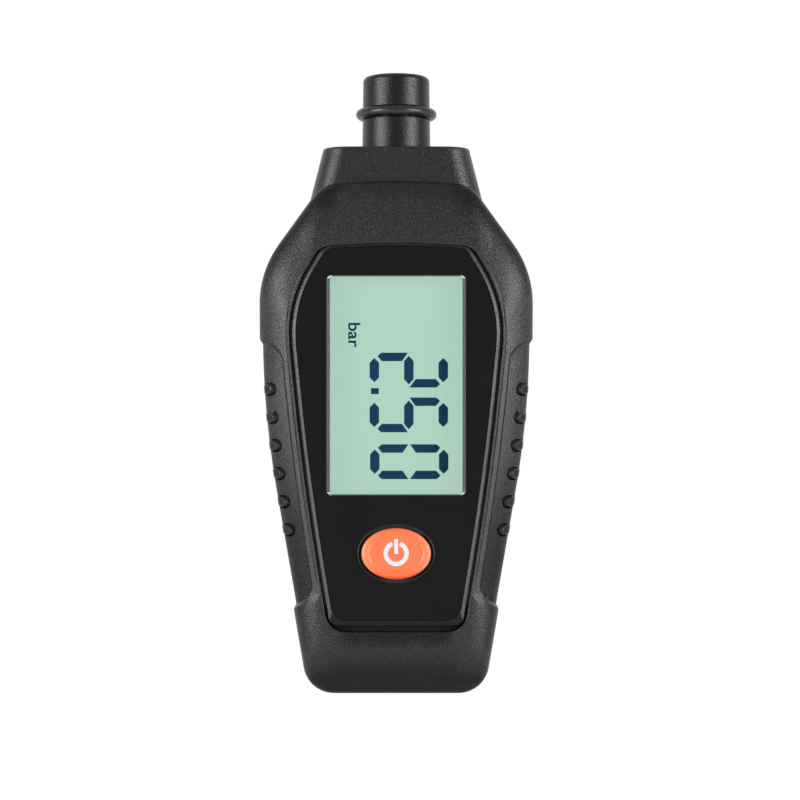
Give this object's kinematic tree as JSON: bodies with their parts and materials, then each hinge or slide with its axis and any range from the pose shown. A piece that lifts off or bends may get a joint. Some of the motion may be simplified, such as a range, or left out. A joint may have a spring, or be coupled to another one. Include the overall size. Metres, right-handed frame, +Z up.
{
  "type": "digital tire pressure gauge",
  "caption": "Handheld digital tire pressure gauge: two-part case with ribbed grips, upright display, press button and battery door, and a tapered neck carrying a straight valve nozzle.",
  "frame": {"origin": "on the flat base, straight below the nozzle's axis", "axes": "+Z up along the nozzle's axis, -Y out of the display, +X to the right as seen from the front"},
  "size_m": [0.0478, 0.0277, 0.1091],
  "materials": {
    "case_plastic": "matte",
    "nozzle_plastic": "matte",
    "panel_black": "matte",
    "clear_lens": "gloss",
    "display_glass": "satin",
    "contact_rubber": "matte",
    "light_plate": "satin",
    "holder_plastic": "matte",
    "board": "satin",
    "chip": "matte",
    "chip_parts": "matte",
    "switch_case": "satin",
    "switch_grey": "satin",
    "button_orange": "satin",
    "mark_white": "satin",
    "ring_rubber": "satin",
    "seal_rubber": "matte",
    "pin_brass": "satin",
    "retainer_plastic": "matte",
    "silicone_tube": "satin",
    "sensor_case": "matte",
    "cell_label": "gloss",
    "contact_steel": "satin",
    "lead_cover": "satin",
    "screw_steel": "satin"
  },
  "bodies": {
    "case": {"front_cover": "case_plastic", "rear_cover": "case_plastic", "bezel_frame": "case_plastic", "face_panel": "panel_black", "display_lens": "clear_lens", "lcd_glass": "display_glass", "zebra_strips": "contact_rubber", "backlight_plate": "light_plate", "lcd_holder": "holder_plastic", "main_board": "board", "controller_chip": "chip", "small_parts": "chip_parts", "tact_switch": "switch_case", "neck_collar": "case_plastic", "nozzle": "nozzle_plastic", "nozzle_o_ring": "ring_rubber", "valve_seal": "seal_rubber", "depressor_pin": "pin_brass", "nozzle_retainer": "retainer_plastic", "retainer_screws": "screw_steel", "air_tube": "silicone_tube", "pressure_sensor": "sensor_case", "left_cell": "cell_label", "right_cell": "cell_label", "contact_springs": "contact_steel", "bridge_contact": "contact_steel", "terminal_contacts": "contact_steel", "battery_leads": "lead_cover", "board_screws": "screw_steel", "case_screws": "screw_steel"},
    "button": {"power_button": "button_orange", "power_mark": "mark_white", "switch_plunger": "switch_grey"},
    "door": {"battery_door": "case_plastic"}
  },
  "joints": [
    {"name": "button_press", "type": "slide", "parent": "case", "child": "button", "axis": [0, 1, 0], "range_m": [0, 0.0006], "stiffness_N_per_m": 1500, "springref_m": -0.0002},
    {"name": "battery_door_swing", "type": "hinge", "parent": "case", "child": "door", "pos_m": [0, 0.0135, 0.01215], "axis": [-1, 0, 0], "range_deg": [0, 75]}
  ]
}
